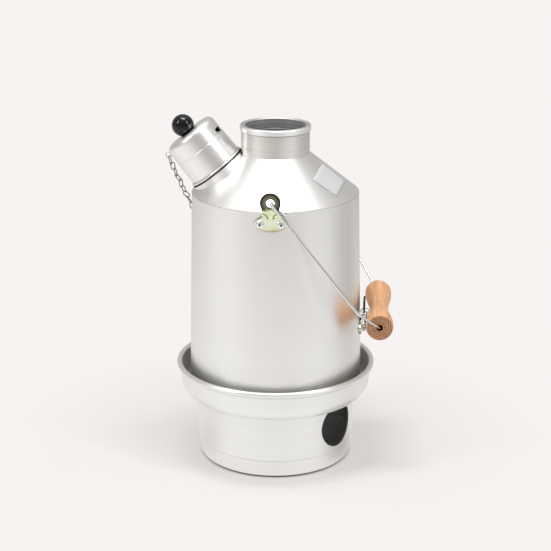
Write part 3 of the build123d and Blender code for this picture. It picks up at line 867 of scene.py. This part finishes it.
class KETTLE_OT_chain(bpy.types.Operator):
    """Make the chain's round-wire links where the frame's links lie."""

    bl_idname = "kettle.chain"
    bl_label = "Chain"

    def execute(self, context):
        wire = plated_wire("plated_chain_wire", "#8F8E8A", 0.1)
        wire_radius, inner_length, inner_width = 0.5, 6.9, 2.5
        bend = (inner_width / 2 + wire_radius) * MM
        straight = (inner_length - inner_width) / 2 * MM
        # Round one end of the link, then round the other
        path = [
            Vector((x, y, 0))
            for side, first in ((1, 90), (-1, -90))
            for x, y in arc((side * straight, 0), bend, first, first - 180, 8)
        ]
        ends = {}
        for part in ("upper", "lower"):
            shape = bmesh.new()
            for points in islands(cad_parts["chain_" + part]):
                tube_loop(shape, path, wire_radius * MM, WIRE_SIDES, self.link_place(points))
            mesh = mesh_from(shape, "chain_links_" + part)
            links = cover(link_object("chain_links_" + part, mesh), wire)
            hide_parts("chain_" + part)
            ends[part] = links
        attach(ends["lower"], "kettle")
        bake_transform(ends["upper"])
        return {"FINISHED"}

    def link_place(self, points):
        """Read a link's place from its corners: X along it, Y across it."""
        centre = sum(points, Vector()) / len(points)
        far = max(points, key=lambda p: (p - centre).length)
        along = (far - centre).normalized()
        across = max(
            (p - centre - along * (p - centre).dot(along) for p in points),
            key=lambda offset: offset.length,
        ).normalized()
        return turned_axes(along, across, along.cross(across), centre)


class KETTLE_OT_grip(bpy.types.Operator):
    """Turn the wooden grip on the bail."""

    bl_idname = "kettle.grip"
    bl_label = "Grip"

    def execute(self, context):
        sizes = context.scene.kettle_grip
        low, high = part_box("grip")
        half = (high.y - low.y) / 2 / MM
        mesh = spun_mesh("turned_grip", self.profile(sizes, half), 96)
        centre = (low + high) / 2
        turn = Matrix.Rotation(-pi / 2, 4, "X")
        grip = link_object("turned_grip", mesh, Matrix.Translation(centre) @ turn)
        cover(grip, beech("oiled_beech", ("#DB9C68", "#F2B684", "#F8C79A"), ("#875231", "#E2AC80")))
        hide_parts("grip")
        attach(grip, "grip")
        return {"FINISHED"}

    def profile(self, sizes, half):
        """The grip's section in millimetres, from the middle of its bore round to the same place."""
        round_off = sizes.end_round / MM
        bore = sizes.bore / MM
        end, bulge, waist = 11.5, 12.0, 8.25
        bulge_in, mouth_depth, mouth_width = 5, 0.6, 0.5
        steps = 32
        side = [(end, half - round_off)]
        for step in range(1, steps + 1):
            place = half - round_off - step * (half - round_off) / steps
            # The outline swells just inside each end and narrows smoothly to the waist
            share = place / (half - bulge_in)
            radius = waist + (bulge - waist) * (1 - cos(pi * share)) / 2
            if share > 1:
                radius = bulge - (bulge - end) * ((place - half + bulge_in) / bulge_in) ** 2
            side.append((radius, place))
        corner = arc((end - round_off, half - round_off), round_off, 90, 0, 5)
        mouth = [(bore, half - mouth_depth), (bore + mouth_width, half)]
        upper = [(bore, 0), *mouth, *corner, *side]
        return upper + [(radius, -place) for radius, place in reversed(upper[:-1])]


class KETTLE_OT_label(bpy.types.Operator):
    """Stick the bare paper label on the shoulder."""

    bl_idname = "kettle.label"
    bl_label = "Label"

    def execute(self, context):
        sizes = context.scene.kettle_label
        # One lower corner and two sides, on the shoulder rolled out flat round the cone's tip
        corner = Vector((75.9, -40.1)) * MM
        upward = Vector((-0.9983, 0.0588))
        sideways = Vector((0.0588, 0.9983))
        rows, columns = 10, 14
        shape = bmesh.new()
        grid = []
        for i in range(rows + 1):
            line = []
            for j in range(columns + 1):
                flat = corner + upward * sizes.height * i / rows + sideways * sizes.width * j / columns
                line.append(shape.verts.new(self.rolled_up(flat, sizes.lift)))
            grid.append(line)
        for i in range(rows):
            for j in range(columns):
                shape.faces.new((grid[i][j], grid[i][j + 1], grid[i + 1][j + 1], grid[i + 1][j]))
        bmesh.ops.recalc_face_normals(shape, faces=shape.faces)
        white = paper("coated_label_paper", ("#D2D3D5", "#DADBDD"))
        label = cover(link_object("paper_label", mesh_from(shape, "paper_label")), white)
        thickness = label.modifiers.new("Thickness", "SOLIDIFY")
        thickness_share = 0.8
        thickness.thickness = sizes.lift * thickness_share
        thickness.offset = 0.0
        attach(label, "kettle")
        return {"FINISHED"}

    def rolled_up(self, flat, lift):
        """Carry a place on the flat sheet over to the cone, a little off its surface."""
        rise, run = sin(SHOULDER_SLOPE), cos(SHOULDER_SLOPE)
        turn = atan2(flat.y, flat.x) / run
        radius = flat.length * run
        height = SHELL_TOP + (SHELL_RADIUS - radius) * rise / run
        normal = Vector((rise * cos(turn), rise * sin(turn), run))
        return Vector((radius * cos(turn), radius * sin(turn), height)) + normal * lift


class KETTLE_OT_stage(bpy.types.Operator):
    """Set the pale floor, the soft lights and the camera."""

    bl_idname = "kettle.stage"
    bl_label = "Stage"

    def execute(self, context):
        stage = context.scene.kettle_stage
        context.scene.view_settings.view_transform = "Standard"
        self.floor(stage)
        self.world(context, stage)
        self.lights(context)
        self.camera(context, stage)
        return {"FINISHED"}

    def floor(self, stage):
        """Lay the pale paper, which glows evenly but for its shading near the kettle."""
        shape = bmesh.new()
        bmesh.ops.create_grid(shape, x_segments=2, y_segments=2, size=3.0)
        floor = link_object("studio_floor", mesh_from(shape, "studio_floor"))
        material, tree, place = new_material("pale_studio_paper")
        light_path = add_node(tree, "LightPath").outputs
        seen = linear(stage.backdrop)
        matte = add_node(tree, "BsdfDiffuse", Color=seen)
        tone = add_node(
            tree,
            "Mix",
            {"data_type": "RGBA"},
            _0=light_path["Is Glossy Ray"],
            _6=seen,
            _7=self.mirrored_floor(tree, place),
        )
        glow = add_node(tree, "Emission", Color=tone, Strength=1.0)
        # The glow gives way to the paper's own shading near the kettle, and wholly under its foot
        reach = add_node(tree, "VectorMath", {"operation": "LENGTH"}, _0=place)
        clear = add_node(tree, "MapRange", Value=reach, From_Min=FOOT_RADII[0], From_Max=FOOT_RADII[1])
        inner = 0.08
        fading = {}
        for kind, outer, nearest in (("camera", 0.3, 0.4), ("glossy", 0.2, 0.85)):
            away = add_node(
                tree,
                "MapRange",
                {"interpolation_type": "SMOOTHSTEP"},
                Value=reach,
                From_Min=inner,
                From_Max=outer,
                To_Min=nearest,
            )
            fading[kind] = add_node(tree, "Math", {"operation": "MULTIPLY"}, _0=away, _1=clear)
        by_camera = add_node(
            tree,
            "Math",
            {"operation": "MULTIPLY"},
            _0=fading["camera"],
            _1=light_path["Is Camera Ray"],
        )
        share = add_node(
            tree,
            "Math",
            {"operation": "MULTIPLY_ADD"},
            _0=fading["glossy"],
            _1=light_path["Is Glossy Ray"],
            _2=by_camera,
        )
        surface = add_node(tree, "MixShader", _0=share, _1=matte, _2=glow)
        add_node(tree, "OutputMaterial", Surface=surface)
        cover(floor, material)

    def mirrored_floor(self, tree, place):
        """Painted reflection: the paper's tone as only the metal mirrors it, palest just before the
        kettle.
        """
        split = add_node(tree, "SeparateXYZ", Vector=place).outputs
        depth = add_node(tree, "MapRange", Value=split["Y"], From_Min=-1.2, From_Max=1.0)
        tone = add_node(
            tree,
            "ValToRGB",
            stops=(
                (0.0, "#E4E0DD"),
                (0.12, "#F4F0ED"),
                (0.3, "#FBF7F5"),
                (0.46, "#FFFFFF"),
                (0.58, "#F1EEEC"),
                (1.0, "#D0CDCB"),
            ),
            Fac=depth,
        )
        # Painted shade, seen only in the metal: it dims to the right, more so in a patch out there, and
        # painted shadows lie at the base's two sides
        dimming = add_node(
            tree,
            "MapRange",
            Value=split["X"],
            From_Min=0.0,
            From_Max=0.9,
            To_Min=1.02,
            To_Max=0.84,
        )
        for middle, inner, outer, dimmest in (
            ((0.66, 0.2, 0.0), 0.12, 0.4, 0.6),
            ((0.115, -0.02, 0.0), 0.02, 0.07, 0.5),
            ((-0.115, -0.02, 0.0), 0.02, 0.06, 0.82),
        ):
            away = add_node(tree, "VectorMath", {"operation": "DISTANCE"}, _0=place, _1=middle)
            painted_shade_patch = add_node(
                tree,
                "MapRange",
                {"interpolation_type": "SMOOTHSTEP"},
                Value=away,
                From_Min=inner,
                From_Max=outer,
                To_Min=dimmest,
            )
            dimming = add_node(tree, "Math", {"operation": "MULTIPLY"}, _0=dimming, _1=painted_shade_patch)
        return add_node(tree, "VectorMath", {"operation": "SCALE"}, Vector=tone, Scale=dimming)

    def world(self, context, stage):
        """Fill the room with soft light, and let only mirrors show its tones."""
        world = bpy.data.worlds.new("studio_room")
        context.scene.world = world
        world.use_nodes = True
        tree = world.node_tree
        tree.nodes.clear()
        light_path = add_node(tree, "LightPath").outputs
        backdrop = linear(stage.backdrop)
        seen = add_node(tree, "Background", Color=backdrop, Strength=1.0)
        mirrored = add_node(tree, "Background", Color=self.mirrored_room(tree), Strength=1.0)
        fill = add_node(tree, "Background", Color=backdrop, Strength=0.33)
        gloss = add_node(
            tree,
            "Math",
            {"operation": "MAXIMUM"},
            _0=light_path["Is Glossy Ray"],
            _1=light_path["Is Transmission Ray"],
        )
        lit = add_node(tree, "MixShader", _0=gloss, _1=fill, _2=mirrored)
        final = add_node(tree, "MixShader", _0=light_path["Is Camera Ray"], _1=lit, _2=seen)
        add_node(tree, "OutputWorld", Surface=final)

    def mirrored_room(self, tree):
        """Tone of the room as the metal mirrors it: palest overhead, darkest behind the camera."""
        generated = add_node(tree, "TexCoord").outputs["Generated"]
        direction = add_node(tree, "SeparateXYZ", Vector=generated).outputs
        upward = add_node(
            tree,
            "ValToRGB",
            stops=(
                (0.0, "#C4C2C0"),
                (0.25, "#BBB9B7"),
                (0.45, "#C0BEBC"),
                (0.62, "#C8C6C4"),
                (0.83, "#DAD8D6"),
                (1.0, "#FFFFFF"),
            ),
            Fac=direction["Z"],
        )
        beside = add_node(
            tree,
            "MapRange",
            {"interpolation_type": "SMOOTHSTEP"},
            Value=direction["Y"],
            From_Min=-1.0,
            From_Max=-0.6,
        )
        front = linear("#B2AFAB")
        return add_node(tree, "Mix", {"data_type": "RGBA"}, _0=beside, _6=front, _7=upward)

    def lights(self, context):
        """Hang two softboxes overhead and set a strip light to either side."""
        softboxes = (
            ("overhead_softbox", (0.0, 0.0, 1.45), (0, 0, 0.15), 1.1, 0.8, 2.6),
            ("overhead_core", (0.0, -0.1, 1.4), (0, 0, 0.15), 0.52, 0.26, 6.0),
            ("left_strip", (-0.82, -0.42, 0.92), (0, 0, 0.3), 0.13, 0.5, 2.9),
            ("right_strip", (0.7, -0.42, 0.92), (0, 0, 0.3), 0.13, 0.5, 2.6),
        )
        for name, place, target, width, height, power in softboxes:
            data = bpy.data.lights.new(name, "AREA")
            data.shape = "RECTANGLE"
            data.size = width
            data.size_y = height
            data.energy = power
            lamp = bpy.data.objects.new(name, data)
            lamp.location = place
            aim = Vector(target) - Vector(place)
            lamp.rotation_euler = aim.to_track_quat("-Z", "Y").to_euler()
            context.scene.collection.objects.link(lamp)

    def camera(self, context, stage):
        """Set the camera where the photograph was taken from."""
        data = bpy.data.cameras.new("photo_camera")
        data.sensor_width = 36.0
        data.lens = stage.lens_pixels / PHOTO_PIXELS * data.sensor_width
        camera = bpy.data.objects.new("photo_camera", data)
        camera.location = (
            stage.distance * sin(stage.azimuth),
            -stage.distance * cos(stage.azimuth),
            stage.height,
        )
        camera.rotation_euler = (pi / 2 - stage.pitch, 0, stage.azimuth)
        context.scene.collection.objects.link(camera)
        context.scene.camera = camera


class KETTLE_PT_panel(bpy.types.Panel):
    """Lists the kettle's pieces and their sizes."""

    bl_label = "Storm Kettle"
    bl_idname = "KETTLE_PT_panel"
    bl_space_type = "VIEW_3D"
    bl_region_type = "UI"
    bl_category = "Kettle"

    def draw(self, context):
        for operator in OPERATORS:
            self.layout.operator(operator.bl_idname)
        for group in GROUPS:
            settings = getattr(context.scene, group)
            box = self.layout.box()
            for name in settings.bl_rna.properties.keys():
                if name not in ("rna_type", "name"):
                    box.prop(settings, name)


OPERATORS = (
    KETTLE_OT_metals,
    KETTLE_OT_mandrels,
    KETTLE_OT_ribs,
    KETTLE_OT_mouldings,
    KETTLE_OT_chain,
    KETTLE_OT_grip,
    KETTLE_OT_label,
    KETTLE_OT_stage,
)
GROUPS = {
    "kettle_metals": KettleMetals,
    "kettle_grip": KettleGrip,
    "kettle_label": KettleLabel,
    "kettle_stage": KettleStage,
}


def register():
    for name, group in GROUPS.items():
        bpy.utils.register_class(group)
        setattr(bpy.types.Scene, name, bpy.props.PointerProperty(type=group))
    for kind in (*OPERATORS, KETTLE_PT_panel):
        bpy.utils.register_class(kind)


def unregister():
    for kind in (KETTLE_PT_panel, *reversed(OPERATORS)):
        bpy.utils.unregister_class(kind)
    for name, group in GROUPS.items():
        delattr(bpy.types.Scene, name)
        bpy.utils.unregister_class(group)


def main():
    register()
    bpy.ops.kettle.metals()
    bpy.ops.kettle.mandrels()
    bpy.ops.kettle.ribs()
    bpy.ops.kettle.mouldings()
    bpy.ops.kettle.chain()
    bpy.ops.kettle.grip()
    bpy.ops.kettle.label()
    bpy.ops.kettle.stage()


if __name__ == "__main__":
    main()
